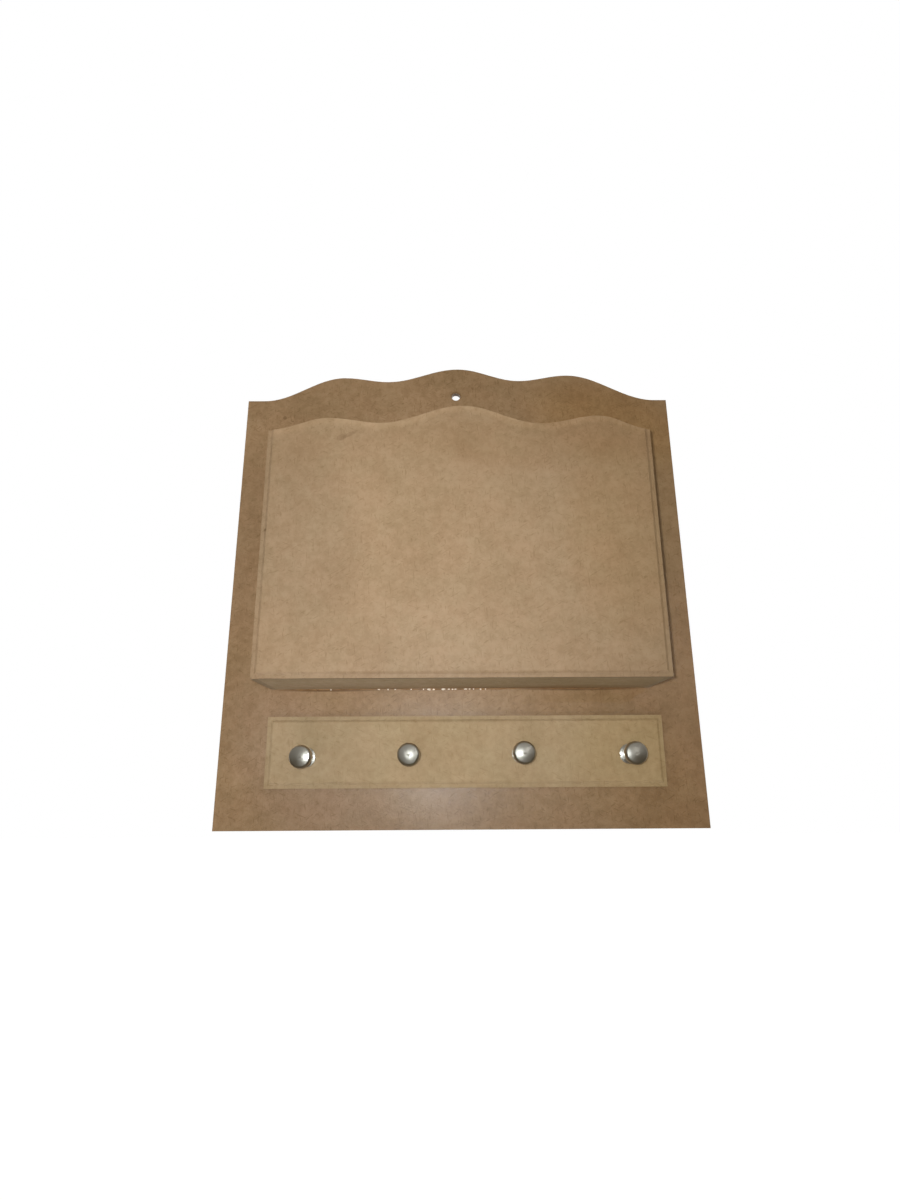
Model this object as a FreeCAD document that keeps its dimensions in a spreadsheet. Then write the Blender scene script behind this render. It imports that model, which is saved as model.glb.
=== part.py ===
import FreeCAD, Part
import math
import os
import Sketcher

# Wall key holder: a wavy back board with a letter box above and a plaque of four
# mushroom knobs below, all of raw 3 mm fibreboard. Millimetres, +Z up, +X to the
# right as seen from the room, and -Y out of the wall into the room. The origin is
# the middle of the hanging hole on the face that lies against the wall.

doc = FreeCAD.newDocument("wall_key_holder")

SIZES = {
    # Back board. Heights are above its bottom edge.
    "board_width": 250.0,
    "board_thickness": 3.0,
    "board_shoulder": 243.3,
    "board_left_flat": 10.0,
    "board_right_flat": 7.0,
    # The wave on the board's top: how far apart its crests and dips lie, going
    # outwards from the middle peak, and how far each stands above the shoulders.
    "board_peak_shift": 0.0,
    "board_peak_rise": 21.4,
    "board_left_dip_run": 41.5,
    "board_left_dip_rise": 12.8,
    "board_left_hump_run": 26.5,
    "board_left_hump_rise": 15.6,
    "board_right_dip_run": 37.0,
    "board_right_dip_rise": 13.3,
    "board_right_hump_run": 29.0,
    "board_right_hump_rise": 17.0,
    # Share of each ramp of a wave that is given to the level handle at either end.
    "wave_softness": 0.364,
    # Hanging hole, under the middle peak and a little to the left of it.
    "hole_diameter": 5.0,
    "hole_below_peak": 18.9,
    "hole_to_middle": 1.0,
    # Letter box. Its depth runs from the board's face to the front panel's face.
    "box_level": 70.7,
    "box_depth": 40.0,
    "panel_width": 200.0,
    "panel_thickness": 3.0,
    "panel_shoulder": 130.35,
    "panel_peak_shift": 1.5,
    "panel_peak_rise": 13.9,
    "panel_left_dip_run": 42.9,
    "panel_left_dip_rise": 3.85,
    "panel_left_hump_run": 26.7,
    "panel_left_hump_rise": 6.95,
    "panel_right_dip_run": 41.7,
    "panel_right_dip_rise": 3.35,
    "panel_right_hump_run": 30.3,
    "panel_right_hump_rise": 7.85,
    "side_thickness": 3.0,
    "floor_thickness": 3.0,
    # Routed border of the front panel and the plaque: a flat band along the edge,
    # then a small step and a shallow bevel up to the field.
    "border_band": 1.8,
    "border_step": 0.75,
    "border_bevel_depth": 0.65,
    "border_bevel_width": 1.2,
    # Plaque under the letter box.
    "plaque_width": 204.6,
    "plaque_height": 35.9,
    "plaque_thickness": 3.0,
    "plaque_level": 20.3,
    "plaque_shift": 2.2,
    # Knob row. Each knob stands where it was drilled by hand, so each has its own
    # distance from the board's middle and its own height on the board.
    "knob_1_left": 79.4,
    "knob_1_height": 35.6,
    "knob_2_left": 26.2,
    "knob_2_height": 36.4,
    "knob_3_right": 30.9,
    "knob_3_height": 36.9,
    "knob_4_right": 86.0,
    "knob_4_height": 36.5,
    # Knob: a bevelled foot, a slim waist that flares out to the head, and the head's
    # short straight side, rounded rim and shallow crown.
    "knob_length": 15.0,
    "knob_foot_diameter": 10.0,
    "knob_foot_edge": 0.9,
    "knob_foot_bevel": 0.65,
    "knob_waist_diameter": 4.9,
    "knob_flare": 3.6,
    "knob_head_side": 0.8,
    "knob_head_diameter": 11.4,
    "knob_rim_radius": 1.6,
    "knob_crown_radius": 17.0,
    # Countersunk screws from behind, one into each knob.
    "screw_diameter": 3.0,
    "screw_head_diameter": 5.6,
    "screw_length": 12.0,
    "screw_sink": 0.2,
    "screw_clearance": 0.4,
    "recess_reach": 3.0,
    "recess_slot": 0.8,
    "recess_depth": 1.1,
    "thread_clearance": 0.1,
    "thread_spare_depth": 1.0,
}

sheet = doc.addObject("Spreadsheet::Sheet", "sizes")
for row, (alias, value) in enumerate(SIZES.items(), start=1):
    sheet.set(f"A{row}", alias)
    sheet.set(f"B{row}", str(value))
    sheet.setAlias(f"B{row}", alias)
doc.recompute()

bodies = []


def cell(alias):
    """The sheet's cell of that name, as an expression spells it."""
    return f"sizes.{alias}"


def new_body(label, x="0", y="0", z="0"):
    """An empty body whose own origin stands at (x, y, z), given as expressions."""
    body = doc.addObject("PartDesign::Body", label)
    body.Label = label
    body.setExpression(".Placement.Base.x", x)
    body.setExpression(".Placement.Base.y", y)
    body.setExpression(".Placement.Base.z", z)
    bodies.append(body)
    return body


def new_sketch(body, name, role, lift=None):
    """A sketch on one of the body's own planes, lifted off it by an expression."""
    sketch = body.newObject("Sketcher::SketchObject", f"{body.Label}_{name}")
    plane = [item for item in body.Origin.OriginFeatures if item.Role == role][0]
    sketch.AttachmentSupport = [(plane, "")]
    sketch.MapMode = "FlatFace"
    if lift:
        sketch.setExpression("AttachmentOffset.Base.z", lift)
    return sketch


def worth(expression):
    """The number that an expression of sheet cells comes to now."""
    return float(sheet.evalExpression(expression.replace("sizes.", "")))


def hold(sketch, name, kind, first, second, expression):
    """A named distance from one point of a sketch to another, bound to the sheet."""
    constraint = Sketcher.Constraint(kind, *first, *second, worth(expression))
    index = sketch.addConstraint(constraint)
    sketch.renameConstraint(index, name)
    sketch.setExpression(f"Constraints.{name}", expression)


def join(sketch, first, second):
    """Two points of a sketch made one."""
    sketch.addConstraint(Sketcher.Constraint("Coincident", *first, *second))


def add_line(sketch, start, end):
    """A line in a sketch, with its two ends given as (x, y)."""
    line = Part.LineSegment(FreeCAD.Vector(*start, 0), FreeCAD.Vector(*end, 0))
    return sketch.addGeometry(line, False)


ROOT = (-1, 1)


def add_rectangle(sketch, name, left, bottom, width, height):
    """A closed rectangle. Left is how far its left side lies left of the origin."""
    x0 = -worth(left)
    x1 = x0 + worth(width)
    y0 = worth(bottom)
    y1 = y0 + worth(height)
    corners = [(x0, y0), (x1, y0), (x1, y1), (x0, y1)]
    sides = []
    for index, corner in enumerate(corners):
        sides.append(add_line(sketch, corner, corners[(index + 1) % 4]))
    for index, side in enumerate(sides):
        join(sketch, (side, 2), (sides[(index + 1) % 4], 1))
        kind = "Horizontal" if index % 2 == 0 else "Vertical"
        sketch.addConstraint(Sketcher.Constraint(kind, side))
    base = sides[0]
    hold(sketch, f"{name}_left", "DistanceX", (base, 1), ROOT, left)
    hold(sketch, f"{name}_width", "DistanceX", (base, 1), (base, 2), width)
    hold(sketch, f"{name}_height", "DistanceY", (sides[1], 1), (sides[1], 2), height)
    if bottom == "0":
        sketch.addConstraint(Sketcher.Constraint("PointOnObject", base, 1, -1))
    else:
        hold(sketch, f"{name}_bottom", "DistanceY", ROOT, (base, 1), bottom)


def add_ramp(sketch, name, start, end, run):
    """Half a wave between two level ends, a cubic whose handles lie level."""
    reach = worth(f"{cell('wave_softness')} * ({run})")
    poles = [
        FreeCAD.Vector(*start, 0),
        FreeCAD.Vector(start[0] + reach, start[1], 0),
        FreeCAD.Vector(end[0] - reach, end[1], 0),
        FreeCAD.Vector(*end, 0),
    ]
    curve = Part.BSplineCurve()
    curve.buildFromPolesMultsKnots(poles, [4, 4], [0, 1], False, 3)
    ramp = sketch.addGeometry(curve, False)
    first_pole = sketch.GeometryCount
    sketch.exposeInternalGeometry(ramp)
    handles = ((0, 1, "out"), (2, 3, "in"))
    for low, high, side in handles:
        near = (first_pole + low, 3)
        far = (first_pole + high, 3)
        sketch.addConstraint(Sketcher.Constraint("Horizontal", *near, *far))
        reach_of = f"{cell('wave_softness')} * ({run})"
        hold(sketch, f"{name}_{side}", "DistanceX", near, far, reach_of)
    return ramp


def add_border(sketch, half, band, top):
    """The strip along a panel's two sides and its bottom, open towards its wavy top.

    half is half the panel's width, band the strip's width, and top a height that
    lies above the panel, all expressions.
    """
    outer = worth(half)
    inner = outer - worth(band)
    corners = [
        (-outer, 0.0), (outer, 0.0), (outer, worth(top)), (inner, worth(top)),
        (inner, worth(band)), (-inner, worth(band)), (-inner, worth(top)), (-outer, worth(top)),
    ]
    sides = []
    for index, corner in enumerate(corners):
        sides.append(add_line(sketch, corner, corners[(index + 1) % len(corners)]))
    for index, side in enumerate(sides):
        join(sketch, (side, 2), (sides[(index + 1) % len(sides)], 1))
        kind = "Horizontal" if index % 2 == 0 else "Vertical"
        sketch.addConstraint(Sketcher.Constraint(kind, side))
    base, right, right_end, _, field_foot, _, left_end, _ = sides
    sketch.addConstraint(Sketcher.Constraint("PointOnObject", base, 1, -1))
    hold(sketch, "half_width", "DistanceX", (base, 1), ROOT, half)
    hold(sketch, "full_width", "DistanceX", (base, 1), (base, 2), f"2 * ({half})")
    hold(sketch, "right_band", "DistanceX", (right_end, 2), (right_end, 1), band)
    hold(sketch, "left_band", "DistanceX", (left_end, 2), (left_end, 1), band)
    hold(sketch, "bottom_band", "DistanceY", (base, 1), (field_foot, 2), band)
    hold(sketch, "right_top", "DistanceY", (base, 1), (right, 2), top)
    hold(sketch, "left_top", "DistanceY", (base, 1), (left_end, 2), top)


def add_wavy_outline(sketch, part, half, flats):
    """A panel's outline with its wavy top, half being half its width.

    With flats, each end of the top has a level shoulder before the wave begins.
    """
    size = {
        key: cell(f"{part}_{key}")
        for key in (
            "shoulder", "peak_shift", "peak_rise",
            "left_dip_run", "left_dip_rise", "left_hump_run", "left_hump_rise",
            "right_dip_run", "right_dip_rise", "right_hump_run", "right_hump_rise",
        )
    }
    left_flat = cell(f"{part}_left_flat") if flats else "0"
    right_flat = cell(f"{part}_right_flat") if flats else "0"
    to_peak = f"{half} + {size['peak_shift']}"
    from_peak = f"{half} - {size['peak_shift']}"
    left_ramp = f"{to_peak} - {size['left_dip_run']} - {size['left_hump_run']} - {left_flat}"
    right_ramp = f"{from_peak} - {size['right_dip_run']} - {size['right_hump_run']} - {right_flat}"
    runs = [
        left_ramp,
        size["left_hump_run"],
        size["left_dip_run"],
        size["right_dip_run"],
        size["right_hump_run"],
        right_ramp,
    ]
    shoulder = size["shoulder"]
    heights = [shoulder]
    for crest in ("left_hump", "left_dip", "peak", "right_dip", "right_hump"):
        heights.append(f"{shoulder} + {size[crest + '_rise']}")
    heights.append(shoulder)

    x = worth(left_flat) - worth(half)
    crests = [(x, worth(heights[0]))]
    for run, height in zip(runs, heights[1:]):
        x += worth(run)
        crests.append((x, worth(height)))
    ramps = []
    for index, run in enumerate(runs):
        name = f"ramp_{index + 1}"
        ramps.append(add_ramp(sketch, name, crests[index], crests[index + 1], run))

    low_left = (-worth(half), 0.0)
    low_right = (worth(half), 0.0)
    high_left = (-worth(half), worth(shoulder))
    high_right = (worth(half), worth(shoulder))
    base = add_line(sketch, low_left, low_right)
    right = add_line(sketch, low_right, high_right)
    left = add_line(sketch, high_left, low_left)
    join(sketch, (left, 2), (base, 1))
    join(sketch, (base, 2), (right, 1))
    sketch.addConstraint(Sketcher.Constraint("Horizontal", base))
    sketch.addConstraint(Sketcher.Constraint("Vertical", right))
    sketch.addConstraint(Sketcher.Constraint("Vertical", left))
    for before, after in zip(ramps, ramps[1:]):
        join(sketch, (before, 2), (after, 1))
    if flats:
        level_left = add_line(sketch, high_left, crests[0])
        level_right = add_line(sketch, crests[-1], high_right)
        sketch.addConstraint(Sketcher.Constraint("Horizontal", level_left))
        sketch.addConstraint(Sketcher.Constraint("Horizontal", level_right))
        join(sketch, (left, 1), (level_left, 1))
        join(sketch, (level_left, 2), (ramps[0], 1))
        join(sketch, (ramps[-1], 2), (level_right, 1))
        join(sketch, (level_right, 2), (right, 2))
        hold(sketch, "left_flat", "DistanceX", (level_left, 1), (level_left, 2), left_flat)
        hold(sketch, "right_flat", "DistanceX", (level_right, 1), (level_right, 2), right_flat)
    else:
        join(sketch, (left, 1), (ramps[0], 1))
        join(sketch, (ramps[-1], 2), (right, 2))

    hold(sketch, "half_width", "DistanceX", (base, 1), ROOT, half)
    hold(sketch, "full_width", "DistanceX", (base, 1), (base, 2), f"2 * ({half})")
    sketch.addConstraint(Sketcher.Constraint("PointOnObject", base, 1, -1))
    for index, ramp in enumerate(ramps):
        hold(sketch, f"height_{index + 1}", "DistanceY", ROOT, (ramp, 1), heights[index])
    hold(sketch, "height_end", "DistanceY", ROOT, (ramps[-1], 2), heights[-1])
    hold(sketch, "to_peak", "DistanceX", (base, 1), (ramps[3], 1), to_peak)
    for index in (1, 2, 3, 4):
        ramp = ramps[index]
        hold(sketch, f"run_{index + 1}", "DistanceX", (ramp, 1), (ramp, 2), runs[index])


def add_circle(sketch, name, x, y, diameter):
    """A circle. Its middle is given by expressions that may come out negative."""
    middle = FreeCAD.Vector(worth(x), worth(y), 0)
    circle = Part.Circle(middle, FreeCAD.Vector(0, 0, 1), worth(diameter) / 2)
    index = sketch.addGeometry(circle, False)
    hold(sketch, f"{name}_x", "DistanceX", ROOT, (index, 3), x)
    hold(sketch, f"{name}_y", "DistanceY", ROOT, (index, 3), y)
    size = sketch.addConstraint(Sketcher.Constraint("Diameter", index, worth(diameter)))
    sketch.renameConstraint(size, f"{name}_diameter")
    sketch.setExpression(f"Constraints.{name}_diameter", diameter)


def pad(body, sketch, name, length):
    """Thickens a sketch by an expression, along the sketch's own normal."""
    feature = body.newObject("PartDesign::Pad", f"{body.Label}_{name}")
    feature.Profile = sketch
    feature.setExpression("Length", length)
    sketch.Visibility = False
    doc.recompute()


def pocket_through(body, sketch, name):
    """Cuts a sketch on the rear plane through everything in front of it."""
    before = body.Shape.Volume
    feature = body.newObject("PartDesign::Pocket", f"{body.Label}_{name}")
    feature.Profile = sketch
    feature.Type = "ThroughAll"
    feature.Reversed = True
    sketch.Visibility = False
    doc.recompute()
    if body.Shape.Volume >= before:
        raise ValueError(f"{feature.Name} cuts nothing")


def pocket(body, sketch, name, depth, towards_room):
    """Cuts a sketch into a body to an expression's depth."""
    before = body.Shape.Volume
    feature = body.newObject("PartDesign::Pocket", f"{body.Label}_{name}")
    feature.Profile = sketch
    feature.Reversed = towards_room
    feature.setExpression("Length", depth)
    sketch.Visibility = False
    doc.recompute()
    if body.Shape.Volume >= before:
        raise ValueError(f"{feature.Name} cuts nothing")
    return feature


def bevel_field(body, base, name, field_first):
    """Bevels the straight edges of the field that the border leaves standing.

    field_first says that the base lists the field's face before the step's walls,
    so that the bevel's depth and width have to change places.
    """
    foremost = min(face.CenterOfMass.y for face in base.Shape.Faces)
    names = [
        f"Edge{index}"
        for index, edge in enumerate(base.Shape.Edges, start=1)
        if isinstance(edge.Curve, Part.Line) and abs(edge.CenterOfMass.y - foremost) < 1e-6
    ]
    feature = body.newObject("PartDesign::Chamfer", f"{body.Label}_{name}")
    feature.Base = (base, names)
    feature.ChamferType = "Two distances"
    feature.FlipDirection = field_first
    feature.setExpression("Size", cell("border_bevel_depth"))
    feature.setExpression("Size2", cell("border_bevel_width"))
    doc.recompute()


# Where the pieces stand in the frame of the hanging hole.
MIDDLE_X = cell("hole_to_middle")
PEAK_HEIGHT = f"{cell('board_shoulder')} + {cell('board_peak_rise')}"
HOLE_HEIGHT = f"{PEAK_HEIGHT} - {cell('hole_below_peak')}"
BOARD_BOTTOM_Z = f"-({HOLE_HEIGHT})"
BOARD_FACE_Y = f"-{cell('board_thickness')}"
BOX_Z = f"{cell('box_level')} - ({HOLE_HEIGHT})"
INNER_DEPTH = f"{cell('box_depth')} - {cell('panel_thickness')}"

# The knobs' places on the board: along it from its middle, and up from its bottom.
KNOBS = (
    (1, f"-{cell('knob_1_left')}", cell("knob_1_height")),
    (2, f"-{cell('knob_2_left')}", cell("knob_2_height")),
    (3, cell("knob_3_right"), cell("knob_3_height")),
    (4, cell("knob_4_right"), cell("knob_4_height")),
)


def make_back_board():
    """The wavy board, its hanging hole and the countersunk holes for the screws."""
    board = new_body("back_board", MIDDLE_X, "0", BOARD_BOTTOM_Z)
    outline = new_sketch(board, "outline", "XZ_Plane")
    half = f"{cell('board_width')} / 2"
    add_wavy_outline(outline, "board", half, True)
    pad(board, outline, "sheet", cell("board_thickness"))

    hanging = new_sketch(board, "hanging", "XZ_Plane")
    to_hole = f"-{cell('hole_to_middle')}"
    add_circle(hanging, "hole", to_hole, HOLE_HEIGHT, cell("hole_diameter"))
    pocket_through(board, hanging, "hanging_hole")

    fixing = new_sketch(board, "fixing", "XZ_Plane")
    hole_width = f"{cell('screw_diameter')} + {cell('screw_clearance')}"
    for number, along, up in KNOBS:
        add_circle(fixing, f"screw_{number}", along, up, hole_width)
    doc.recompute()
    before = board.Shape.Volume
    holes = board.newObject("PartDesign::Hole", "back_board_screw_holes")
    holes.Profile = fixing
    doc.recompute()
    holes.Threaded = False
    holes.DepthType = "ThroughAll"
    holes.Reversed = True
    holes.HoleCutType = "Countersink"
    holes.HoleCutCustomValues = True
    holes.setExpression("Diameter", hole_width)
    rim_width = f"{cell('screw_head_diameter')} + 2 * {cell('screw_sink')}"
    holes.setExpression("HoleCutDiameter", rim_width)
    holes.HoleCutCountersinkAngle = 90.0
    fixing.Visibility = False
    doc.recompute()
    if board.Shape.Volume >= before:
        raise ValueError("the screw holes cut nothing")


def make_front_panel():
    """The letter box's front, with a routed border along its sides and bottom."""
    rear_y = f"{BOARD_FACE_Y} - ({INNER_DEPTH})"
    panel = new_body("front_panel", MIDDLE_X, rear_y, BOX_Z)
    half = f"{cell('panel_width')} / 2"
    outline = new_sketch(panel, "outline", "XZ_Plane")
    add_wavy_outline(outline, "panel", half, False)
    pad(panel, outline, "sheet", cell("panel_thickness"))

    border = new_sketch(panel, "border", "XZ_Plane", cell("panel_thickness"))
    above_wave = f"{cell('panel_shoulder')} + {cell('panel_peak_rise')}"
    add_border(border, half, cell("border_band"), above_wave)
    routed = pocket(panel, border, "routed_border", cell("border_step"), False)
    bevel_field(panel, routed, "border_bevel", True)


def make_board_piece(label, role, place, size, thickness):
    """A plain rectangular board, such as the letter box's floor or an end.

    place is its origin's x, y and z, and size its width and height on the plane.
    """
    piece = new_body(label, *place)
    outline = new_sketch(piece, "outline", role)
    add_rectangle(outline, "board", "0", "0", *size)
    pad(piece, outline, "sheet", thickness)


def make_letter_box():
    """The floor and the two ends, glued between the board and the front panel."""
    half = f"{cell('panel_width')} / 2"
    front_y = f"{BOARD_FACE_Y} - ({INNER_DEPTH})"
    side = cell("side_thickness")
    inner_width = f"{cell('panel_width')} - 2 * {side}"
    floor_place = (f"{MIDDLE_X} - {half} + {side}", front_y, BOX_Z)
    floor_size = (inner_width, INNER_DEPTH)
    make_board_piece("box_bottom", "XY_Plane", floor_place, floor_size, cell("floor_thickness"))
    end_size = (INNER_DEPTH, cell("panel_shoulder"))
    left_place = (f"{MIDDLE_X} - {half}", front_y, BOX_Z)
    right_place = (f"{MIDDLE_X} + {half} - {side}", front_y, BOX_Z)
    make_board_piece("box_side_left", "YZ_Plane", left_place, end_size, side)
    make_board_piece("box_side_right", "YZ_Plane", right_place, end_size, side)


def make_key_plaque():
    """The strip that carries the knobs, with the same routed border all round."""
    place_x = f"{MIDDLE_X} + {cell('plaque_shift')}"
    place_z = f"{BOARD_BOTTOM_Z} + {cell('plaque_level')}"
    plaque = new_body("key_plaque", place_x, BOARD_FACE_Y, place_z)
    width = cell("plaque_width")
    height = cell("plaque_height")
    band = cell("border_band")
    outline = new_sketch(plaque, "outline", "XZ_Plane")
    add_rectangle(outline, "edge", f"{width} / 2", "0", width, height)
    pad(plaque, outline, "sheet", cell("plaque_thickness"))

    border = new_sketch(plaque, "border", "XZ_Plane", cell("plaque_thickness"))
    field_width = f"{width} - 2 * {band}"
    field_height = f"{height} - 2 * {band}"
    add_rectangle(border, "edge", f"{width} / 2", "0", width, height)
    add_rectangle(border, "field", f"{width} / 2 - {band}", band, field_width, field_height)
    routed = pocket(plaque, border, "routed_border", cell("border_step"), False)
    bevel_field(plaque, routed, "border_bevel", False)

    fixing = new_sketch(plaque, "fixing", "XZ_Plane")
    hole_width = f"{cell('screw_diameter')} + {cell('screw_clearance')}"
    for number, along, up in KNOBS:
        x = f"{along} - {cell('plaque_shift')}"
        y = f"{up} - {cell('plaque_level')}"
        add_circle(fixing, f"screw_{number}", x, y, hole_width)
    pocket_through(plaque, fixing, "screw_holes")


def revolve(body, sketch):
    """Turns a half profile once round the sketch's upright axis."""
    feature = body.newObject("PartDesign::Revolution", f"{body.Label}_turned")
    feature.Profile = sketch
    feature.ReferenceAxis = (sketch, ["V_Axis"])
    feature.Angle = 360.0
    sketch.Visibility = False
    doc.recompute()


def add_profile_lines(sketch, points):
    """Lines through points of a half profile, joined, and held by their sizes.

    Each point is (name, radius, height) with the last two as expressions. Heights
    run down the sketch, so that the turned piece grows towards the room.
    """
    lines = []
    for (_, x0, y0), (_, x1, y1) in zip(points, points[1:]):
        start = (worth(x0), -worth(y0))
        end = (worth(x1), -worth(y1))
        lines.append(add_line(sketch, start, end))
    for before, after in zip(lines, lines[1:]):
        join(sketch, (before, 2), (after, 1))
    ends = [(line, 1) for line in lines] + [(lines[-1], 2)]
    for (name, x, y), point in zip(points, ends):
        if x == "0":
            sketch.addConstraint(Sketcher.Constraint("PointOnObject", *point, -2))
        else:
            hold(sketch, f"{name}_radius", "DistanceX", ROOT, point, x)
        if y == "0":
            sketch.addConstraint(Sketcher.Constraint("PointOnObject", *point, -1))
        else:
            hold(sketch, f"{name}_height", "DistanceY", point, ROOT, y)
    return lines


def add_arc(sketch, middle, radius, start, end):
    """An arc in a sketch, anticlockwise from one angle to another, in degrees."""
    circle = Part.Circle(FreeCAD.Vector(*middle, 0), FreeCAD.Vector(0, 0, 1), radius)
    arc = Part.ArcOfCircle(circle, math.radians(start), math.radians(end))
    return sketch.addGeometry(arc, False)


def make_knob(number, along, up):
    """A turned knob, drilled and tapped from its foot for the screw."""
    face_y = f"{BOARD_FACE_Y} - {cell('plaque_thickness')}"
    place_x = f"{MIDDLE_X} + {along}"
    place_z = f"{BOARD_BOTTOM_Z} + {up}"
    knob = new_body(f"knob_{number}", place_x, face_y, place_z)
    profile = new_sketch(knob, "profile", "XY_Plane")

    foot = f"{cell('knob_foot_diameter')} / 2"
    foot_edge = cell("knob_foot_edge")
    waist = f"{cell('knob_waist_diameter')} / 2"
    head = f"{cell('knob_head_diameter')} / 2"
    rim = cell("knob_rim_radius")
    crown = cell("knob_crown_radius")
    length = cell("knob_length")
    inward = f"{head} - {rim}"
    rim_drop = f"sqrt(({crown} - {rim})^2 - ({inward})^2)"
    side_top = f"{length} - {crown} + {rim_drop}"
    side_foot = f"{side_top} - {cell('knob_head_side')}"
    bore = f"({cell('screw_diameter')} + {cell('thread_clearance')}) / 2"
    laminate = f"{cell('board_thickness')} + {cell('plaque_thickness')}"
    screw_end = f"{cell('screw_length')} + {cell('screw_sink')}"
    bore_depth = f"{screw_end} - ({laminate}) + {cell('thread_spare_depth')}"
    lines = add_profile_lines(profile, [
        ("crown_top", "0", length),
        ("bore_end", "0", bore_depth),
        ("bore_wall", bore, bore_depth),
        ("bore_mouth", bore, "0"),
        ("foot", foot, "0"),
        ("foot_side", foot, foot_edge),
        ("waist_foot", waist, f"{foot_edge} + {cell('knob_foot_bevel')}"),
        ("waist_top", waist, f"{side_foot} - {cell('knob_flare')}"),
        ("flare", head, side_foot),
        ("side_top", head, side_top),
    ])

    # The crown's arc is centred on the axis and runs smoothly into the rim's arc.
    crown_middle = (0.0, worth(crown) - worth(length))
    rim_middle = (worth(inward), -worth(side_top))
    meeting = math.degrees(math.atan2(-worth(rim_drop), worth(inward)))
    crown_arc = add_arc(profile, crown_middle, worth(crown), -90, meeting)
    rim_arc = add_arc(profile, rim_middle, worth(rim), meeting, 0)
    join(profile, (crown_arc, 1), (lines[0], 1))
    join(profile, (rim_arc, 2), (lines[-1], 2))
    profile.addConstraint(Sketcher.Constraint("PointOnObject", crown_arc, 3, -2))
    profile.addConstraint(Sketcher.Constraint("Tangent", crown_arc, 2, rim_arc, 1))
    profile.addConstraint(Sketcher.Constraint("Horizontal", rim_arc, 2, rim_arc, 3))
    hold(profile, "crown_radius", "DistanceY", (crown_arc, 1), (crown_arc, 3), crown)
    revolve(knob, profile)
    return knob


def make_screw(number, along, up):
    """A countersunk screw, its head just under the wall face of the board."""
    place_x = f"{MIDDLE_X} + {along}"
    place_z = f"{BOARD_BOTTOM_Z} + {up}"
    screw = new_body(f"knob_screw_{number}", place_x, f"-{cell('screw_sink')}", place_z)
    profile = new_sketch(screw, "profile", "XY_Plane")
    head = f"{cell('screw_head_diameter')} / 2"
    shank = f"{cell('screw_diameter')} / 2"
    length = cell("screw_length")
    lines = add_profile_lines(profile, [
        ("end", "0", length),
        ("top", "0", "0"),
        ("head", head, "0"),
        ("neck", shank, f"{head} - {shank}"),
        ("shank", shank, length),
    ])
    closing = add_line(profile, (worth(shank), -worth(length)), (0.0, -worth(length)))
    join(profile, (lines[-1], 2), (closing, 1))
    join(profile, (closing, 2), (lines[0], 1))
    revolve(screw, profile)

    reach = cell("recess_reach")
    slot = cell("recess_slot")
    for name, width, height in (("slot_across", reach, slot), ("slot_upright", slot, reach)):
        recess = new_sketch(screw, name, "XZ_Plane")
        add_rectangle(recess, "slot", f"{width} / 2", f"-{height} / 2", width, height)
        pocket(screw, recess, f"{name}_cut", cell("recess_depth"), True)
    return screw


def gather(label, pieces):
    """Like pieces as one sub-part, each piece still a solid of its own."""
    group = doc.addObject("Part::Compound", label)
    group.Label = label
    group.Links = pieces
    return group


make_back_board()
make_front_panel()
make_letter_box()
make_key_plaque()
sub_parts = list(bodies)
knobs = []
screws = []
for knob_place in KNOBS:
    knobs.append(make_knob(*knob_place))
    screws.append(make_screw(*knob_place))
sub_parts.append(gather("knobs", knobs))
sub_parts.append(gather("knob_screws", screws))
doc.recompute()

for item in doc.Objects:
    for fault in ("Invalid", "Error"):
        if fault in item.State:
            raise ValueError(f"{item.Label} did not build: {item.State}")
for body in bodies:
    shape = body.Shape
    if shape.isNull() or not shape.isValid() or len(shape.Solids) != 1:
        raise ValueError(f"{body.Label} is not one sound solid")

os.makedirs("parts", exist_ok=True)
for part in sub_parts:
    shape = part.Shape
    shape.exportStep(os.path.join("parts", f"{part.Label}.step"))
    corner = shape.optimalBoundingBox(False, False)
    print(f"{part.Label}: {len(shape.Solids)} solid, {shape.Volume:.1f} mm3,"
          f" x {corner.XMin:.2f} to {corner.XMax:.2f}, y {corner.YMin:.2f} to {corner.YMax:.2f},"
          f" z {corner.ZMin:.2f} to {corner.ZMax:.2f}")
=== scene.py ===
import math
import random

import bmesh
import bpy
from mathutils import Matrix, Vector


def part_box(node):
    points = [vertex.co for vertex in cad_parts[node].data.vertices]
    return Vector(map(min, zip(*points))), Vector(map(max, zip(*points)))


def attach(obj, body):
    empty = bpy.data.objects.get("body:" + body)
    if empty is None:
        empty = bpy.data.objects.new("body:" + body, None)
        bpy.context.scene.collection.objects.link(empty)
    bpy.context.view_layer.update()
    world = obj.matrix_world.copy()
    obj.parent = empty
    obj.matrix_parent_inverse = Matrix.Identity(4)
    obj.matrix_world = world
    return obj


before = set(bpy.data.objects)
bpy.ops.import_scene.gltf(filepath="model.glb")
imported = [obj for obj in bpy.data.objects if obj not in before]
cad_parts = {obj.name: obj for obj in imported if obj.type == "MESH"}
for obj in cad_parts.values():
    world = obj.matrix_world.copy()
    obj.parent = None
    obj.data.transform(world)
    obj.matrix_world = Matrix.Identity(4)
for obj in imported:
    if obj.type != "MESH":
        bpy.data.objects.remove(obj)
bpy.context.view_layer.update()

# Looks for the wall key holder: raw fibreboard with a pressed face and routed edges,
# dried glue under the letter box, plated knobs and zinc screws. Metres, in the CAD's
# frame: +Z up, -Y into the room. Textures are drawn in millimetres.

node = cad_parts
MM = 0.001
X = Vector((1.0, 0.0, 0.0))
Y = Vector((0.0, 1.0, 0.0))
Z = Vector((0.0, 0.0, 1.0))

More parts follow.
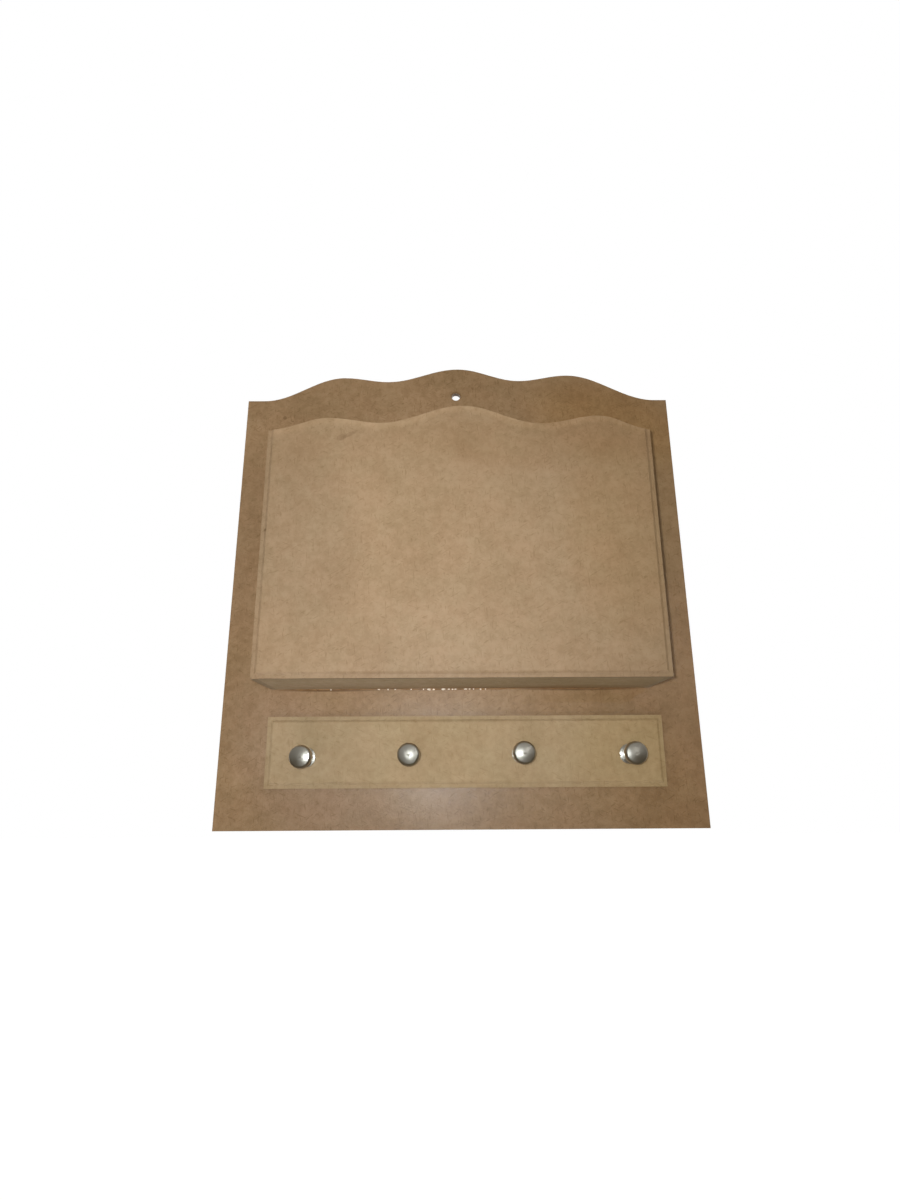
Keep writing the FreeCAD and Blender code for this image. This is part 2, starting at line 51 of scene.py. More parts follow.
# By the axis across a sheet: the sheet's own right and up, the axis that its fibres
# turn about, and the scale at which they are drawn along X, Y and Z.
SHEET_AXES = {"X": (Y, Z), "Y": (X, Z), "Z": (X, Y)}
SHEET_TURN = {"X": X, "Y": Y, "Z": Z}
FIBRE_STRETCH = {"X": (0.3, 0.3, 1.5), "Y": (0.3, 0.3, 1.5), "Z": (0.3, 1.5, 0.3)}


# Node trees. A seed moves a texture by so many steps, most of a noise's values lie in
# the middle band, a speck is full in its core and fades from there, and an oval has
# faded out a little past the size that is given.

TEXTURE_STEP = (-1.0, -0.7, 1.0)
MIDDLE = (0.3, 0.7)
SPECK_CORE = 0.4
OVAL_RIM = 1.2


def new_material(name):
    """A material with a Principled shader, as (material, tree, shader)."""
    material = bpy.data.materials.new(name)
    material.use_nodes = True
    tree = material.node_tree
    return material, tree, tree.nodes["Principled BSDF"]


def put(tree, kind, settings=None, inputs=None):
    """A node with its settings, and inputs by name or number, values or sockets."""
    made = tree.nodes.new(kind)
    for name, value in (settings or {}).items():
        setattr(made, name, value)
    for name, value in (inputs or {}).items():
        if isinstance(value, bpy.types.NodeSocket):
            tree.links.new(value, made.inputs[name])
        else:
            made.inputs[name].default_value = value
    return made


def maths(tree, operation, first, second=0.0):
    """The result of one operation on two values."""
    settings = {"operation": operation}
    return put(tree, "ShaderNodeMath", settings, {0: first, 1: second}).outputs[0]


def vector_maths(tree, operation, first, second):
    """The result of one operation on two vectors, a value where it is a dot product."""
    settings = {"operation": operation}
    made = put(tree, "ShaderNodeVectorMath", settings, {0: first, 1: second})
    return made.outputs["Value"] if operation == "DOT_PRODUCT" else made.outputs["Vector"]


def blend(tree, share, first, second):
    """One colour passing into another as share goes from 0 to 1."""
    made = put(tree, "ShaderNodeMix", {"data_type": "RGBA"}, {0: share, 6: first, 7: second})
    return made.outputs[2]


def tinted(tree, colour, tint):
    """A colour times a tint."""
    settings = {"data_type": "RGBA", "blend_type": "MULTIPLY"}
    return put(tree, "ShaderNodeMix", settings, {0: 1.0, 6: colour, 7: tint}).outputs[2]


def combined(tree, red, green, blue):
    """A colour from three values."""
    inputs = {0: red, 1: green, 2: blue}
    return put(tree, "ShaderNodeCombineColor", None, inputs).outputs[0]


def spread(tree, value, low, high, to_low=0.0, to_high=1.0):
    """A value's stretch from low to high, laid smoothly onto another stretch."""
    inputs = {"Value": value, 1: low, 2: high, 3: to_low, 4: to_high}
    settings = {"interpolation_type": "SMOOTHSTEP"}
    return put(tree, "ShaderNodeMapRange", settings, inputs).outputs[0]


def millimetres(tree, seed=0.0, stretch=(1.0, 1.0, 1.0), turn=(0.0, 0.0, 0.0)):
    """Places on the piece in millimetres, moved by a seed, turned and then stretched."""
    place = put(tree, "ShaderNodeTexCoord").outputs["Object"]
    scale = [MM / share for share in stretch]
    away = Vector([step * seed for step in TEXTURE_STEP]) * MM
    inputs = {"Vector": place, "Location": away, "Rotation": turn, "Scale": scale}
    return put(tree, "ShaderNodeMapping", {"vector_type": "TEXTURE"}, inputs).outputs[0]


def noise(tree, place, size, detail=2.0, roughness=0.5):
    """Soft noise whose lumps are about size millimetres across."""
    inputs = {"Vector": place, "Scale": 1.0 / size, "Detail": detail, "Roughness": roughness}
    return put(tree, "ShaderNodeTexNoise", None, inputs).outputs[0]


def specks(tree, place, spacing, size, share):
    """1 on small round specks, of which only a share of the places has one."""
    inputs = {"Vector": place, "Scale": 1.0 / spacing}
    cells = put(tree, "ShaderNodeTexVoronoi", {"feature": "F1"}, inputs)
    edge = size / spacing
    dots = spread(tree, cells.outputs["Distance"], edge * SPECK_CORE, edge, 1.0, 0.0)
    lot = put(tree, "ShaderNodeSeparateColor", None, {0: cells.outputs["Color"]}).outputs[0]
    chosen = maths(tree, "LESS_THAN", lot, share)
    return maths(tree, "MULTIPLY", dots, chosen)


def mark(tree, thin, start, end, width, core=0.2):
    """1 inside a long oval on a sheet, given by its ends and width in millimetres.

    The ends are places in the sheet's plane, which is square to the axis called thin.
    core is the part of the oval, as an area, that is full before the edge fades.
    """
    right, up = SHEET_AXES[thin]
    near = right * start[0] + up * start[1]
    far = right * end[0] + up * end[1]
    run = far - near
    half_length = run.length / 2 + width / 2
    along = run.normalized() if run.length else right
    across = up * along.dot(right) - right * along.dot(up)
    away = vector_maths(tree, "SUBTRACT", millimetres(tree), (near + far) / 2)
    lengthwise = vector_maths(tree, "DOT_PRODUCT", away, along / half_length)
    sideways = vector_maths(tree, "DOT_PRODUCT", away, across / (width / 2))
    square = maths(tree, "MULTIPLY", lengthwise, lengthwise)
    total = maths(tree, "ADD", square, maths(tree, "MULTIPLY", sideways, sideways))
    return spread(tree, total, core, OVAL_RIM, 1.0, 0.0)


def add_relief(tree, shader, height, strength, depth):
    """Gives a shader fine relief by a height from 0 to 1, depth metres deep."""
    inputs = {"Height": height, "Strength": strength, "Distance": depth}
    bump = put(tree, "ShaderNodeBump", None, inputs).outputs[0]
    tree.links.new(bump, shader.inputs["Normal"])


# Colours, as the photograph shows them, turned from screen values to light

CLEAR = (1.0, 1.0, 1.0, 1.0)
WARM_STEP = (0.02, -0.01, -0.01)
BROWN = (0.84, 0.7, 0.57)


def screen(red, green, blue):
    """A colour written as sRGB screen values out of 255, as linear light."""
    linear = []
    for value in (red, green, blue):
        share = value / 255
        linear.append(share / 12.92 if share <= 0.04045 else ((share + 0.055) / 1.055) ** 2.4)
    return (*linear, 1.0)


def darker(colour, share):
    """A colour with only a share of its light."""
    return (*[value * share for value in colour[:3]], 1.0)


def warmer(colour, share):
    """A colour moved a little towards red, or with a negative share towards olive."""
    return (*[value * (1 + step * share) for value, step in zip(colour, WARM_STEP)], 1.0)


def browner(colour):
    """The same fibreboard more red-brown, the colour its marks go towards: real ones and painted
    shade alike.
    """
    return (*[value * share for value, share in zip(colour, BROWN)], 1.0)


# Raw fibreboard: sizes in millimetres, what each layer does to the colour, and the
# band of a layer's values, or of the way that a face looks, over which it sets in

FACE_BAND = (0.3, 0.95)
BACK_BAND = (0.2, 0.6)
CUT_EDGE_SHADE = 0.78
HUE_SIZE = 16.0
HUE_BAND = (0.35, 0.65)
HUE_SHARE = 0.5
SPECK_SPACING = 7.0
SPECK_SIZE = 0.55
SPECKED_PLACES = 0.3
SPECK_STRENGTH = 0.35
SPECK_SHADE = 0.55
STAIN_AND_SHADE_SHARE = 0.6
CLOUD_SEED = 5.0
CLOUD_SIZE = 40.0
CLOUD_BAND = (0.2, 0.8)
CLOUD_CONTRAST = 0.08
MOTTLE_SIZE = 3.2
MOTTLE_BAND = (0.28, 0.72)
MOTTLE_CONTRAST = 0.056
FIBRE_TURNS = (0.4, 1.5, 2.6)
FIBRE_SEED_A_TURN = 9.0
FIBRE_SIZE = 1.2
FIBRE_BAND = (0.6, 0.8)
FIBRE_CONTRAST = 0.105
DARK_TINT_POWERS = (0.85, 1.0, 1.32)
GRAIN_SIZE = 0.7
GRAIN_GLOSS = (-0.06, 0.08)
GRAIN_HEIGHT = 0.9
RELIEF_STRENGTH = 0.4
RELIEF_DEPTH = 0.12 * MM


def uneven(tree, value, band, swing):
    """A shade from 1 - swing to 1 + swing as a value goes through its band."""
    return spread(tree, value, *band, 1 - swing, 1 + swing)


def crossing_fibres(tree, seed, thin):
    """1 on short fibres that lie in three directions in the plane of a sheet."""
    fibres = None
    for turn in FIBRE_TURNS:
        own_seed = seed + FIBRE_SEED_A_TURN * turn
        lie = millimetres(tree, own_seed, FIBRE_STRETCH[thin], SHEET_TURN[thin] * turn)
        strand = spread(tree, noise(tree, lie, FIBRE_SIZE, detail=1.0), *FIBRE_BAND)
        fibres = strand if fibres is None else maths(tree, "MAXIMUM", fibres, strand)
    return fibres


def fibreboard(name, colour, seed, roughness, contrast, thin="Y", marks=(), tones=(), more=None):
    """Raw fibreboard: a pressed face with soft clouds, short fibres and a few dark
    specks, and darker cut edges.

    contrast is how strongly the face is mottled, and thin the axis across the sheet.
    marks are (start, end, width, strength) ovals that darken the side towards -thin,
    and tones are (start, end, width, tint) wide soft stretches of it that are tinted.
    more, if it is given, takes the tree and returns one more shade for the colour.
    """
    material, tree, shader = new_material(name)
    place = millimetres(tree, seed)

    # The sheet's two faces look along its thin axis, and its cut edges across it.
    facing = put(tree, "ShaderNodeNewGeometry").outputs["Normal"]
    toward = put(tree, "ShaderNodeSeparateXYZ", None, {0: facing}).outputs[thin]
    on_face = spread(tree, maths(tree, "ABSOLUTE", toward), *FACE_BAND)
    in_front = spread(tree, toward, *BACK_BAND, 1.0, 0.0)

    hue = spread(tree, noise(tree, place, HUE_SIZE, detail=4.0, roughness=0.7), *HUE_BAND)
    face = blend(tree, hue, warmer(colour, -HUE_SHARE), warmer(colour, HUE_SHARE))
    for start, end, width, tint in tones:
        oval = mark(tree, thin, start, end, width, core=0.0)
        stretch = maths(tree, "MULTIPLY", oval, in_front)
        face = tinted(tree, face, blend(tree, stretch, CLEAR, (*tint, 1.0)))
    dots = specks(tree, place, SPECK_SPACING, SPECK_SIZE, SPECKED_PLACES)
    dots = maths(tree, "MULTIPLY", dots, SPECK_STRENGTH)
    face = blend(tree, dots, face, darker(colour, SPECK_SHADE))
    # Marks darken the front towards a browner colour: real specks and smudges, and painted shade in
    # the hanging hole, in the joint under the box and on the bottom bevels.
    for start, end, width, strength in marks:
        stain_and_shade = maths(tree, "MULTIPLY", mark(tree, thin, start, end, width), in_front)
        stain_and_shade = maths(tree, "MULTIPLY", stain_and_shade, strength)
        face = blend(tree, stain_and_shade, face, darker(browner(colour), STAIN_AND_SHADE_SHARE))

    cloud_place = millimetres(tree, seed + CLOUD_SEED)
    clouds = noise(tree, cloud_place, CLOUD_SIZE, detail=6.0, roughness=0.8)
    mottle = noise(tree, place, MOTTLE_SIZE, detail=4.0, roughness=0.62)
    cloudy = uneven(tree, clouds, CLOUD_BAND, CLOUD_CONTRAST * contrast)
    mottled = uneven(tree, mottle, MOTTLE_BAND, MOTTLE_CONTRAST * contrast)
    shade = maths(tree, "MULTIPLY", cloudy, mottled)
    fibres = crossing_fibres(tree, seed, thin)
    strands = spread(tree, fibres, 0.0, 1.0, 1.0, 1 - FIBRE_CONTRAST * contrast)
    shade = maths(tree, "MULTIPLY", shade, strands)
    # Darker places are browner as well, and lighter ones are whiter.
    shades = [maths(tree, "POWER", shade, power) for power in DARK_TINT_POWERS]
    face = tinted(tree, face, combined(tree, *shades))

    shade = spread(tree, on_face, 0.0, 1.0, CUT_EDGE_SHADE, 1.0)
    if more:
        shade = maths(tree, "MULTIPLY", shade, more(tree))
    face = tinted(tree, face, combined(tree, shade, shade, shade))
    tree.links.new(face, shader.inputs["Base Color"])

    grain = noise(tree, place, GRAIN_SIZE)
    glossiest, dullest = [roughness + step for step in GRAIN_GLOSS]
    dull = spread(tree, grain, *MIDDLE, glossiest, dullest)
    tree.links.new(dull, shader.inputs["Roughness"])
    height = maths(tree, "ADD", mottle, maths(tree, "MULTIPLY", grain, GRAIN_HEIGHT))
    add_relief(tree, shader, height, RELIEF_STRENGTH, RELIEF_DEPTH)
    return material


# Borders and rims, in millimetres: the depth below a sheet's front at which a routed
# border starts to show and shows in full, the distance below a wavy top at which its
# lighter rim starts to fade and is gone, and how near a corner lies that is on a face

ROUTED_DEPTHS = (0.05, 0.3)
CREST_FADE = (1.6, 5.2)
ON_FACE = 0.01


def routed(name, share):
    """A shade for the border that is cut into a sheet's front, as a function of the tree."""
    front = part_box(name)[0].y / MM

    def shade(tree):
        height = put(tree, "ShaderNodeSeparateXYZ", None, {0: millimetres(tree)}).outputs["Y"]
        depth = maths(tree, "SUBTRACT", height, front)
        return spread(tree, depth, *ROUTED_DEPTHS, 1.0, share)
    return shade


def lighter_crest(name, rise, share):
    """A shade that is lighter in a narrow rim below a sheet's wavy top edge.

    rise is how far the wave reaches below its highest crest, in millimetres.
    """
    low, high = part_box(name)
    low, high = low / MM, high / MM
    run = high.x - low.x
    foot = high.z - rise
    crest = {}
    for vertex in node[name].data.vertices:
        place = vertex.co / MM
        if place.y < low.y + ON_FACE and place.z > foot:
            crest[round(place.x, 1)] = place.z
    spots = sorted(crest.items())

    def shade(tree):
        parts = put(tree, "ShaderNodeSeparateXYZ", None, {0: millimetres(tree)}).outputs
        along = maths(tree, "MULTIPLY", maths(tree, "SUBTRACT", parts["X"], low.x), 1 / run)
        wave = put(tree, "ShaderNodeFloatCurve", None, {"Value": along})
        curve = wave.mapping.curves[0]
        curve.points[0].location = (0.0, (spots[0][1] - foot) / rise)
        curve.points[1].location = (1.0, (spots[-1][1] - foot) / rise)
        # Every third place of the crest is enough for the curve.
        for across, level in spots[2:-2:3]:
            curve.points.new((across - low.x) / run, (level - foot) / rise)
        wave.mapping.update()
        edge = maths(tree, "MULTIPLY_ADD", wave.outputs[0], rise)
        edge.node.inputs[2].default_value = foot
        below = maths(tree, "SUBTRACT", edge, parts["Z"])
        return spread(tree, below, *CREST_FADE, share, 1.0)
    return shade


# Plated metal and dried glue

POLISH_SIZE = 2.5
POLISH_SHADE = 0.92
POLISH_HAZE = 0.08
COAT_ROUGHNESS = 0.26
COAT_IOR = 1.9
SCRATCH_STRETCH = (6.0, 0.6, 6.0)
SCRATCH_SIZE = 0.6
SCRATCH_DEPTH = 0.01 * MM
GLUE_CLOUD_SIZE = 6.0
GLUE_ROUGHNESS = (0.08, 0.2)


def plated_metal(name, colour, roughness, scratches, coat=0.0):
    """Satin plated metal with a slightly cloudy polish and fine scratches."""
    material, tree, shader = new_material(name)
    cloud = noise(tree, millimetres(tree, seed=3.0), POLISH_SIZE)
    tint = blend(tree, cloud, darker(colour, POLISH_SHADE), colour)
    tree.links.new(tint, shader.inputs["Base Color"])
    shader.inputs["Metallic"].default_value = 1.0
    haze = spread(tree, cloud, *MIDDLE, roughness * (1 - POLISH_HAZE), roughness * (1 + POLISH_HAZE))
    tree.links.new(haze, shader.inputs["Roughness"])
    shader.inputs["Coat Weight"].default_value = coat
    shader.inputs["Coat Roughness"].default_value = COAT_ROUGHNESS
    shader.inputs["Coat IOR"].default_value = COAT_IOR
    fine = noise(tree, millimetres(tree, seed=5.0, stretch=SCRATCH_STRETCH), SCRATCH_SIZE)
    add_relief(tree, shader, fine, scratches, SCRATCH_DEPTH)
    return material


def dried_glue(name, thin_colour, thick_colour):
    """Dried wood glue, clouded between two colours."""
    material, tree, shader = new_material(name)
    cloud = noise(tree, millimetres(tree, seed=2.0), GLUE_CLOUD_SIZE)
    colour = blend(tree, cloud, thin_colour, thick_colour)
    tree.links.new(colour, shader.inputs["Base Color"])
    roughness = spread(tree, cloud, *MIDDLE, *GLUE_ROUGHNESS)
    tree.links.new(roughness, shader.inputs["Roughness"])
    return material


# Each sheet's colour, and its marks and tones as fibreboard() takes them

BOARD = screen(147, 120.5, 89)
PANEL = screen(150.5, 127.6, 99.4)
PLAQUE = screen(165.2, 144.6, 112.3)
BOX = screen(170, 152, 124)

BOARD_MARKS = (
    ((-101.7, -13.8), (-101.7, -13.8), 2.6, 0.6),
    ((-96.8, -16.2), (-96.8, -16.2), 1.3, 0.4),
    ((-116.1, -19.7), (-116.1, -19.7), 1.3, 0.4),
    # A darker, browner strip along the joint under the box: painted shade in the joint together with
    # glue soaked into the board.
    ((-96.0, -175.5), (-40.0, -175.5), 2.0, 0.95),
    ((-40.0, -175.3), (30.0, -175.3), 1.4, 0.35),
    ((30.0, -175.5), (98.0, -175.5), 1.8, 0.9),
    # Painted shade in and around the hanging hole.
    ((0.0, 0.5), (0.0, 0.5), 7.0, 0.7),
)
BOARD_TONES = (
    ((118.0, -240.0), (124.0, -150.0), 90.0, (0.94, 0.9, 0.86)),
    # Painted shade: the left column darker, as the light falls off towards it.
    ((-112.0, -46.0), (-116.0, -140.0), 50.0, (0.88, 0.87, 0.87)),
    ((110.0, -40.0), (118.0, -90.0), 50.0, (0.93, 0.94, 0.9)),
    ((64.0, -190.0), (104.0, -236.0), 70.0, (0.98, 0.97, 0.9)),
    ((-104.0, -186.0), (-66.0, -238.0), 64.0, (0.96, 0.98, 1.08)),
    # Painted shade: the board darker along its bottom.
    ((-112.0, -240.0), (115.0, -240.0), 56.0, (0.93, 0.93, 0.95)),
    # Painted shade right of the box's end, taking back some of the room lamp's sheen there.
    ((82.0, -182.0), (112.0, -182.0), 44.0, (0.94, 0.92, 0.88)),
    ((66.0, -10.0), (118.0, -26.0), 60.0, (1.0, 0.92, 0.74)),
)
PANEL_MARKS = (
    ((-60.3, -49.6), (-52.6, -45.5), 2.4, 0.32),
    ((-61.2, -49.4), (-59.6, -48.6), 4.2, 0.36),
    ((-96.9, -100.4), (-96.9, -100.4), 1.7, 0.75),
    # Painted shade along the bottom bevel of the routed border.
    ((-90.0, -172.4), (92.0, -172.4), 2.0, 0.16),
)
PANEL_TONES = (
    ((-30.0, -50.0), (85.0, -52.0), 36.0, (0.93, 0.9, 0.85)),
    ((62.0, -44.0), (96.0, -50.0), 42.0, (0.96, 0.92, 0.87)),
    ((88.0, -70.0), (88.0, -125.0), 80.0, (0.95, 0.91, 0.82)),
    ((-80.0, -85.0), (-76.0, -125.0), 70.0, (0.89, 0.89, 0.89)),
)
PLAQUE_MARKS = (
    # Painted shade along the bottom bevel of the routed border.
    ((-90.0, -222.9), (96.0, -222.9), 2.0, 0.1),
)
PLAQUE_TONES = (
    ((-90.0, -207.0), (-60.0, -207.0), 60.0, (0.93, 0.94, 0.96)),
    ((88.0, -207.0), (105.0, -207.0), 70.0, (1.0, 0.97, 0.87)),
)
BOX_FLOOR_TONES = (
    # The first three are painted shade: the floor's underside darker and browner towards the board,
    # in the corner of the joint.
    ((-95.0, -2.0), (95.0, -2.0), 28.0, (0.93, 0.87, 0.8)),
    ((-95.0, -2.0), (95.0, -2.0), 13.0, (0.86, 0.76, 0.68)),
    ((36.0, -2.0), (95.0, -2.0), 30.0, (0.9, 0.82, 0.72)),
    ((14.0, -21.0), (92.0, -21.0), 70.0, (0.83, 0.81, 0.74)),
)
ARRIS = 0.15 * MM
ARRIS_ANGLE = math.radians(40.0)


def panel_shade(tree):
    """The lighter rim under the panel's wave together with its routed border."""
    crest = lighter_crest("front_panel", rise=14.2, share=1.12)(tree)
    return maths(tree, "MULTIPLY", crest, routed("front_panel", share=0.94)(tree))


def cover(name, material):
    """Gives a CAD node its material."""
    slots = node[name].material_slots
    for slot in slots:
        slot.material = material
    if not slots:
        node[name].data.materials.append(material)


def soften_arrises(name, width):
    """Takes the sharpness off a sheet's corners, as sanding does."""
    bevel = node[name].modifiers.new("sanded arrises", "BEVEL")
    bevel.width = width
    bevel.segments = 2
    bevel.limit_method = "ANGLE"
    bevel.angle_limit = ARRIS_ANGLE


cover("back_board", fibreboard(
    "board", BOARD, seed=11.0, roughness=0.335, contrast=2.1,
    marks=BOARD_MARKS, tones=BOARD_TONES))
cover("front_panel", fibreboard(
    "panel", PANEL, seed=23.0, roughness=0.5, contrast=1.6,
    marks=PANEL_MARKS, tones=PANEL_TONES, more=panel_shade))
cover("key_plaque", fibreboard(
    "plaque", PLAQUE, seed=37.0, roughness=0.75, contrast=1.4,
    marks=PLAQUE_MARKS, tones=PLAQUE_TONES, more=routed("key_plaque", share=0.96)))
cover("box_bottom", fibreboard(
    "box_floor", BOX, seed=51.0, roughness=0.75, contrast=1.4, thin="Z", tones=BOX_FLOOR_TONES))
end_material = fibreboard("box_end", BOX, seed=67.0, roughness=0.75, contrast=1.4, thin="X")
cover("box_side_left", end_material)
cover("box_side_right", end_material)
cover("knobs", plated_metal(
    "knob_nickel", screen(194, 186, 171), roughness=0.36, scratches=0.02, coat=1.0))
cover("knob_screws", plated_metal(
    "screw_zinc", screen(196, 196, 190), roughness=0.3, scratches=0.2))
for name in ("back_board", "front_panel", "key_plaque"):
    soften_arrises(name, ARRIS)


# Dried glue along the joint under the letter box, its dark beads also painted shade in the joint and
# its white drops
# also painted glints: beads as (seed, start, end, radius) and drops as (place, length), in
# millimetres

BEADS = ((1, -94.0, -40.0, 0.5), (2, -36.0, 34.0, 0.6), (3, 40.0, 92.0, 0.4))
BEAD_STEP = 0.5 * MM
BEAD_SIDES = 8
BEAD_STEPS_A_LUMP = 3
BEAD_THINNEST = 0.35
BEAD_TAPER = 6
BEAD_TIP = 0.02
DROPS = (
    (-67.6, 0.9), (-42.2, 1.1), (-37.3, 0.7), (-33.6, 0.9), (-25.1, 0.6), (-18.6, 0.6),
    (-15.6, 1.6), (-13.2, 1.3), (-8.1, 1.9), (-5.2, 0.9), (-3.3, 0.8), (-1.6, 0.9),
    (3.7, 2.0), (5.8, 1.0), (7.9, 0.6), (11.6, 0.9), (14.2, 0.7),
)
DROPS_SEED = 4
DROP_HEIGHTS = (0.35, 0.65)
DROP_LENGTH_SHARE = 0.65
DROP_SAG = 1.2
DROP_OUT = 0.05 * MM
DROP_DOWN = 0.1 * MM


def smooth_object(name, mesh):
    """An object with smooth faces in the scene, made of a mesh that it then frees."""
    data = bpy.data.meshes.new(name)
    mesh.to_mesh(data)
    mesh.free()
    for face in data.polygons:
        face.use_smooth = True
    made = bpy.data.objects.new(name, data)
    bpy.context.scene.collection.objects.link(made)
    return made


def make_bead(seed, start, end, radius):
    """An uneven bead in the corner between the box's floor and the board."""
    rng = random.Random(seed)
    floor_low, floor_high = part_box("box_bottom")
    length = end - start
    steps = int(length / BEAD_STEP)
    lumps = steps // BEAD_STEPS_A_LUMP + 3
    thick = [radius * rng.uniform(BEAD_THINNEST, 1.0) for _ in range(lumps)]
    mesh = bmesh.new()
    rings = []
    for step in range(steps + 1):
        share = step / steps
        knot, part = divmod(share * (len(thick) - 2), 1.0)
        part = part * part * (3 - 2 * part)
        size = thick[int(knot)] * (1 - part) + thick[int(knot) + 1] * part
        size *= min(1.0, BEAD_TAPER * share, BEAD_TAPER * (1 - share)) + BEAD_TIP
        ring = []
        for side in range(BEAD_SIDES):
            angle = 2 * math.pi * side / BEAD_SIDES
            offset = Vector((0.0, math.cos(angle), math.sin(angle))) * size
            middle = Vector((start + share * length, floor_high.y, floor_low.z))
            ring.append(mesh.verts.new(middle + offset))
        rings.append(ring)
    for near, far in zip(rings, rings[1:]):
        for side in range(BEAD_SIDES):
            after = (side + 1) % BEAD_SIDES
            mesh.faces.new((near[side], near[after], far[after], far[side]))
    mesh.faces.new(rings[0])
    mesh.faces.new(list(reversed(rings[-1])))
    bmesh.ops.recalc_face_normals(mesh, faces=mesh.faces)
    return smooth_object(f"glue_bead_{seed}", mesh)


def make_drops(seed, spots):
    """Small smeared drops of glue along the same joint, given by (place, length) pairs."""
    rng = random.Random(seed)
    floor_low, floor_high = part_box("box_bottom")
    mesh = bmesh.new()
    for place, length in spots:
        made = bmesh.ops.create_icosphere(mesh, subdivisions=2, radius=1.0)
        middle = Vector((place * MM, floor_high.y - DROP_OUT, floor_low.z - DROP_DOWN))
        height = rng.uniform(*DROP_HEIGHTS)
        for vertex in made["verts"]:
            along = vertex.co.x * length * DROP_LENGTH_SHARE
            lump = Vector((along, vertex.co.y * height, vertex.co.z * height * DROP_SAG))
            vertex.co = middle + lump * MM
    return smooth_object("glue_drops", mesh)


# The beads' dark brown is glue and also painted shade in the joint.
glue_and_shade_material = dried_glue("dried_glue", screen(120, 84, 50), screen(164, 134, 98))
# The drops' near-white colour is glue and also painted glints of the flash.
drops = make_drops(DROPS_SEED, DROPS)
drops.data.materials.append(dried_glue("white_glue_and_glint", screen(232, 222, 200), screen(250, 244, 230)))
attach(drops, "root")
for seed, start, end, radius in BEADS:
    bead = make_bead(seed, start * MM, end * MM, radius * MM)
    bead.data.materials.append(glue_and_shade_material)
    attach(bead, "root")


# Studio

FLOOR_SIZE = 14.0
FLOOR_LEVEL = -0.82
FLOOR_COLOUR = (0.68, 0.68, 0.68, 1.0)
FLOOR_MIRRORED = (0.2, 0.19, 0.17, 1.0)
FLOOR_GLOW = 0.85
ROOM_TINT = (1.0, 0.98, 0.92, 1.0)
SOFT_LIGHT = (0.392, 0.332, 0.24, 1.0)
FLASH_PLACE = (-0.0175, -0.348, -0.213)
FLASH_TARGET = (-0.05, 0.0, -0.04)
FLASH_SIZE = 0.012
LENS = 19.54
SENSOR_WIDTH = 36.0
NEAREST_SEEN = 0.01
CAMERA_PLACE = (-6.2 * MM, -348.2 * MM, -220.7 * MM)
CAMERA_TURN = (105.28, 0.33, -0.23)


def white_rays(tree, behind):
    """1 for rays that look at the background straight, through something clear, or
    mirrored from the part of it behind the object."""
    rays = put(tree, "ShaderNodeLightPath").outputs
    straight = maths(tree, "MAXIMUM", rays["Is Camera Ray"], rays["Is Transmission Ray"])
    mirrored = maths(tree, "MULTIPLY", rays["Is Glossy Ray"], behind)
    return maths(tree, "MAXIMUM", straight, mirrored)


def make_floor():
    """A pale floor under the hanging object: white to the camera but for deep shadow."""
    bpy.ops.mesh.primitive_plane_add(size=FLOOR_SIZE, location=(0.0, 0.0, FLOOR_LEVEL))
    floor = bpy.context.object
    floor.name = "floor"
    material, tree, shader = new_material("pale_floor")
    tree.nodes.remove(shader)
    rays = put(tree, "ShaderNodeLightPath").outputs
    colour = blend(tree, rays["Is Glossy Ray"], FLOOR_COLOUR, FLOOR_MIRRORED)
    diffuse = put(tree, "ShaderNodeBsdfDiffuse", None, {"Color": colour})
    place = put(tree, "ShaderNodeTexCoord").outputs["Object"]
    depth = put(tree, "ShaderNodeSeparateXYZ", None, {0: place}).outputs["Y"]
    seen = white_rays(tree, spread(tree, depth, 0.0, 1.0))
    strength = maths(tree, "MULTIPLY", seen, FLOOR_GLOW)
    glow = put(tree, "ShaderNodeEmission", None, {"Strength": strength})
    both = put(tree, "ShaderNodeAddShader", None, {0: diffuse.outputs[0], 1: glow.outputs[0]})
    tree.links.new(both.outputs[0], tree.nodes["Material Output"].inputs[0])
    floor.data.materials.append(material)


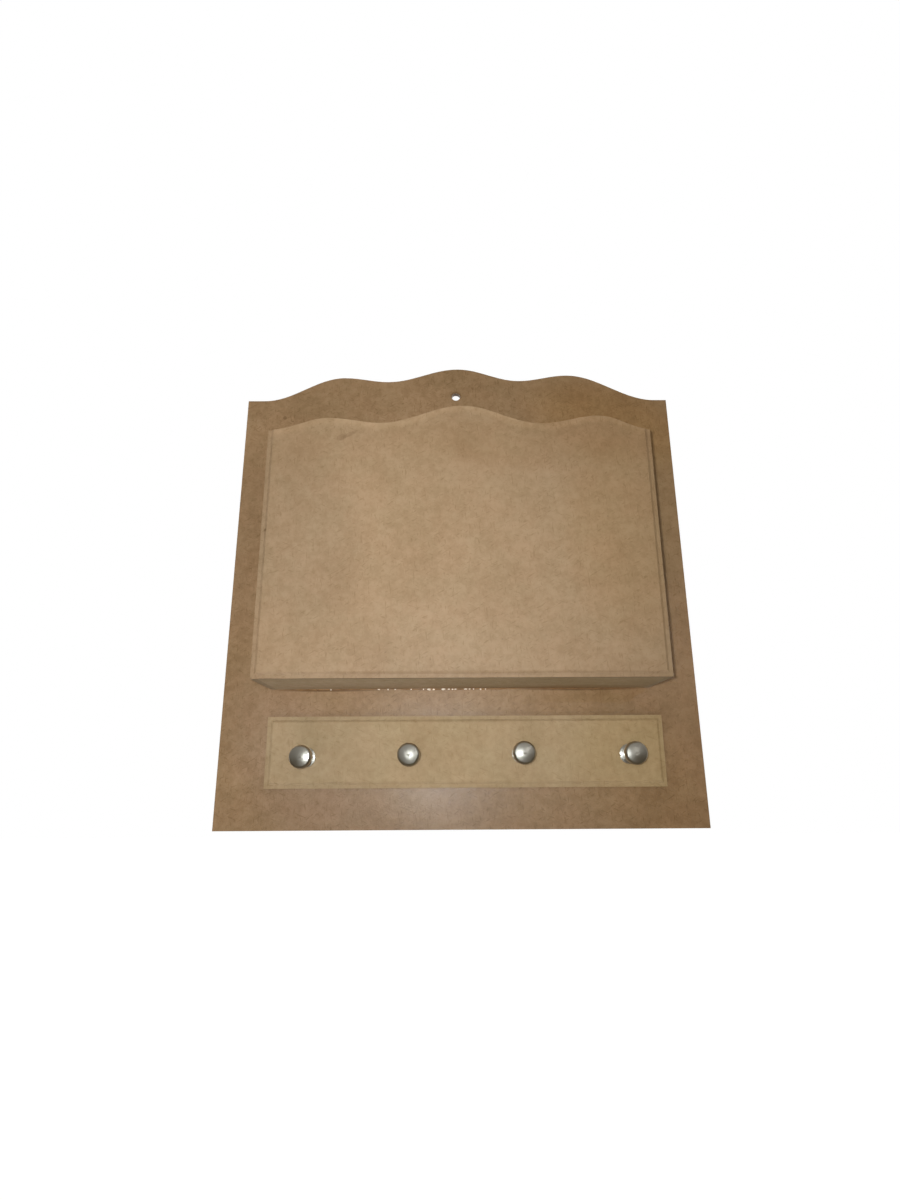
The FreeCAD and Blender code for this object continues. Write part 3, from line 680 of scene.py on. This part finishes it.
def make_world():
    """White behind the object, a dim room in front of it, and a soft warm light."""
    world = bpy.data.worlds.new("studio")
    bpy.context.scene.world = world
    world.use_nodes = True
    tree = world.node_tree
    tree.nodes.clear()
    direction = put(tree, "ShaderNodeTexCoord").outputs["Generated"]
    parts = put(tree, "ShaderNodeSeparateXYZ", None, {0: direction}).outputs
    room = spread(tree, parts["Z"], low=-0.7, high=0.9, to_low=0.1, to_high=0.3)
    dim = tinted(tree, combined(tree, room, room, room), ROOM_TINT)
    rays = put(tree, "ShaderNodeLightPath").outputs
    unseen = blend(tree, rays["Is Glossy Ray"], SOFT_LIGHT, dim)
    white = white_rays(tree, spread(tree, parts["Y"], low=0.15, high=0.5))
    colour = blend(tree, white, unseen, CLEAR)
    background = put(tree, "ShaderNodeBackground", None, {"Color": colour, "Strength": 1.0})
    output = put(tree, "ShaderNodeOutputWorld")
    tree.links.new(background.outputs[0], output.inputs["Surface"])


def make_light(name, place, target, size, watts, colour, shows, cone=180.0):
    """A round soft lamp at a place, turned to a target, shining into a cone.

    shows says which surfaces it lights, "matt" or "glossy" ones.
    """
    lamp = bpy.data.lights.new(name, "AREA")
    lamp.shape = "DISK"
    lamp.size = size
    lamp.energy = watts
    lamp.color = colour
    lamp.spread = math.radians(cone)
    light = bpy.data.objects.new(name, lamp)
    light.location = place
    light.rotation_euler = (Vector(target) - Vector(place)).to_track_quat("-Z", "Y").to_euler()
    light.visible_camera = False
    light.visible_diffuse = shows == "matt"
    light.visible_glossy = shows == "glossy"
    bpy.context.scene.collection.objects.link(light)


def make_camera():
    """The photograph's camera: close, a little below the middle and tilted up."""
    data = bpy.data.cameras.new("camera")
    data.lens = LENS
    data.sensor_width = SENSOR_WIDTH
    data.clip_start = NEAREST_SEEN
    camera = bpy.data.objects.new("camera", data)
    camera.location = CAMERA_PLACE
    camera.rotation_euler = [math.radians(angle) for angle in CAMERA_TURN]
    bpy.context.scene.collection.objects.link(camera)
    bpy.context.scene.camera = camera


make_floor()
make_world()
make_light("flash", FLASH_PLACE, FLASH_TARGET, size=FLASH_SIZE, watts=0.47,
           colour=(1.0, 1.0, 1.0), shows="matt", cone=120.0)
make_light("flash_glint", FLASH_PLACE, FLASH_TARGET, size=FLASH_SIZE, watts=0.17,
           colour=(0.93, 1.03, 1.1), shows="glossy", cone=120.0)
make_light("under", (-0.22, -0.35, -0.75), (0.0, -0.03, -0.17), size=0.7, watts=1.66,
           colour=(0.96, 0.99, 1.17), shows="matt")
make_light("behind", (0.15, 0.75, 0.45), (0.0, 0.0, -0.08), size=0.6, watts=0.9,
           colour=(1.0, 0.94, 0.84), shows="matt", cone=60.0)
make_light("room_lamp", (0.36, -0.95, 0.0), (0.0, 0.0, -0.2), size=0.03, watts=0.24,
           colour=(1.0, 1.0, 1.0), shows="glossy")
make_camera()

scene = bpy.context.scene
scene.view_settings.view_transform = "Standard"
